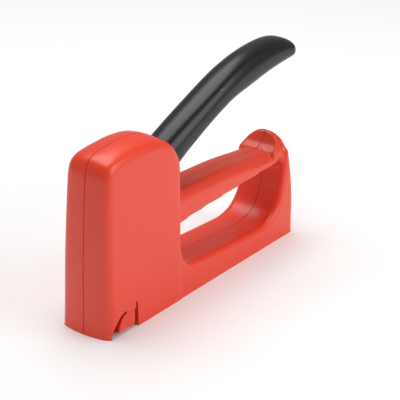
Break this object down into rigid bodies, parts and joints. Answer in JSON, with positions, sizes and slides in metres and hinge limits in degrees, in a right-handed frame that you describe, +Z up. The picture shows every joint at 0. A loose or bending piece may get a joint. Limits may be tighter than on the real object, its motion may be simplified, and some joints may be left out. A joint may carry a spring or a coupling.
{
  "type": "staple gun",
  "caption": "Compact hand tacker with a two-part red plastic body, a black squeeze lever, a spring-driven striker and a drop-down staple magazine.",
  "frame": {"origin": "bottom centre of the whole tool's bounding box, on the plane the base rests on", "axes": "-X towards the nose, +X towards the rear end of the lever, Y across the tool with the shell seam at Y = 0, +Z up from the base"},
  "size_m": [0.167, 0.03, 0.1077],
  "materials": {
    "red_plastic": "satin gloss",
    "black_plastic": "satin gloss",
    "spring_steel": "bright",
    "zinc_steel": "zinc plated",
    "rubber": "matt",
    "white_plastic": "matt"
  },
  "bodies": {
    "frame": {"left_shell": "red_plastic", "right_shell": "red_plastic", "shell_screws": "zinc_steel", "nose_plate": "zinc_steel", "bumper": "rubber", "spring_seat": "white_plastic", "main_spring": "spring_steel", "lever_pin": "zinc_steel", "return_spring": "spring_steel", "magazine_pin": "zinc_steel"},
    "lever": {"lever_arm": "zinc_steel", "lever_grip": "black_plastic"},
    "striker": {"striker_carrier": "zinc_steel", "driver_blade": "spring_steel"},
    "magazine": {"magazine_channel": "zinc_steel", "magazine_nose": "red_plastic", "guide_rod": "spring_steel", "rod_bracket": "zinc_steel", "follower_spring": "spring_steel", "left_catch_spring": "spring_steel", "right_catch_spring": "spring_steel"},
    "follower": {"follower": "zinc_steel"},
    "left_catch": {"left_catch": "red_plastic"},
    "right_catch": {"right_catch": "red_plastic"}
  },
  "joints": [
    {"name": "lever_squeeze", "type": "hinge", "parent": "frame", "child": "lever", "pos_m": [-0.0385, 0, 0.066], "axis": [0, 1, 0], "range_deg": [0, 19], "stiffness_Nm_per_rad": 1.5, "springref_deg": -20.05, "deforming": ["return_spring"]},
    {"name": "striker_lift", "type": "slide", "parent": "frame", "child": "striker", "axis": [0, 0, 1], "range_m": [0, 0.0104], "deforming": ["main_spring"]},
    {"name": "magazine_drop", "type": "hinge", "parent": "frame", "child": "magazine", "pos_m": [0.0585, 0, 0.012], "axis": [0, -1, 0], "range_deg": [0, 35]},
    {"name": "follower_slide", "type": "slide", "parent": "magazine", "child": "follower", "axis": [1, 0, 0], "range_m": [0, 0.06], "stiffness_N_per_m": 20, "springref_m": -0.02, "deforming": ["follower_spring"]},
    {"name": "left_catch_press", "type": "slide", "parent": "magazine", "child": "left_catch", "axis": [0, 1, 0], "range_m": [0, 0.0015], "stiffness_N_per_m": 800, "springref_m": -0.0005, "deforming": ["left_catch_spring"]},
    {"name": "right_catch_press", "type": "slide", "parent": "magazine", "child": "right_catch", "axis": [0, -1, 0], "range_m": [0, 0.0015], "stiffness_N_per_m": 800, "springref_m": -0.0005, "deforming": ["right_catch_spring"]}
  ],
  "couplings": [
    {"joint": "striker_lift", "follows": "lever_squeeze", "m_per_rad": 0.0313}
  ]
}
